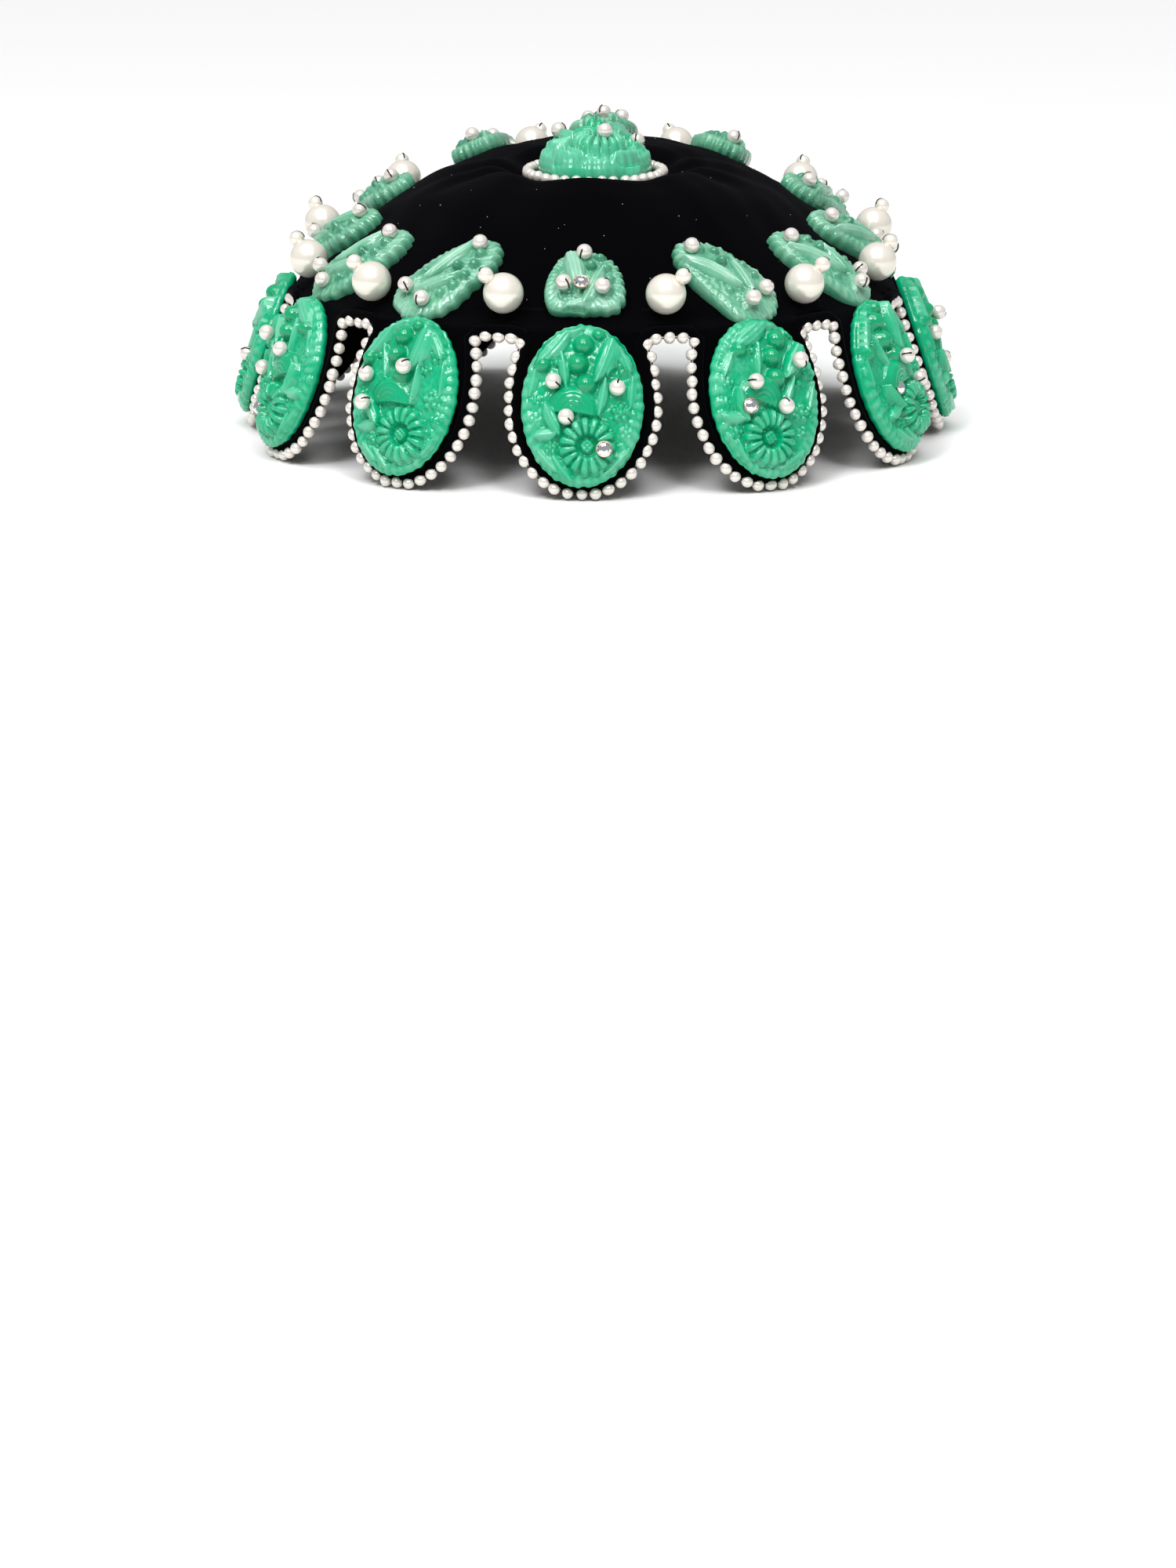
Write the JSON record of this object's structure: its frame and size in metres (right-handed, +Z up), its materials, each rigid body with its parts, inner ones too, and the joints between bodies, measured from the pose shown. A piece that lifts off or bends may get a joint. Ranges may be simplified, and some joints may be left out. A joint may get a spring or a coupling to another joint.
{
  "type": "beaded velvet cap",
  "caption": "Stiff velvet evening cap with flared oval tabs, each carrying a moulded glass plaque, edged with small pearls, with glass leaves and large pearls round the crown.",
  "frame": {"origin": "middle of the plane that the ends of the tabs stand on, under the middle of the cap", "axes": "+Z up through the crown, front of the cap towards -Y, wearer's left towards +X"},
  "size_m": [0.1934, 0.1934, 0.0801],
  "materials": {
    "velvet": "black velvet pile over stiffened net",
    "jade_glass": "moulded jade-green glass, polished, slightly milky",
    "pale_jade_glass": "moulded greyish green glass, translucent and mottled",
    "large_pearl": "cream pearl lustre, satin",
    "small_pearl": "silvery pearl lustre"
  },
  "bodies": {
    "root": {"cap": "velvet", "rim_pearls_right": "small_pearl", "rim_pearls_left": "small_pearl", "top_pearls": "small_pearl", "top_plaque": "jade_glass", "tab_plaque_1": "jade_glass", "tab_plaque_2": "jade_glass", "tab_plaque_3": "jade_glass", "tab_plaque_4": "jade_glass", "tab_plaque_5": "jade_glass", "tab_plaque_6": "jade_glass", "tab_plaque_7": "jade_glass", "tab_plaque_8": "jade_glass", "tab_plaque_9": "jade_glass", "tab_plaque_10": "jade_glass", "tab_plaque_11": "jade_glass", "tab_plaque_12": "jade_glass", "crown_leaf_1": "pale_jade_glass", "crown_leaf_2": "pale_jade_glass", "crown_leaf_3": "pale_jade_glass", "crown_leaf_4": "pale_jade_glass", "crown_leaf_5": "pale_jade_glass", "crown_leaf_6": "pale_jade_glass", "crown_leaf_7": "pale_jade_glass", "crown_leaf_8": "pale_jade_glass", "crown_leaf_9": "pale_jade_glass", "crown_leaf_10": "pale_jade_glass", "crown_leaf_11": "pale_jade_glass", "crown_leaf_12": "pale_jade_glass", "large_pearl_1": "large_pearl", "large_pearl_2": "large_pearl", "large_pearl_3": "large_pearl", "large_pearl_4": "large_pearl", "large_pearl_5": "large_pearl", "large_pearl_6": "large_pearl", "large_pearl_7": "large_pearl", "large_pearl_8": "large_pearl", "large_pearl_9": "large_pearl", "large_pearl_10": "large_pearl", "large_pearl_11": "large_pearl", "large_pearl_12": "large_pearl"}
  },
  "joints": []
}
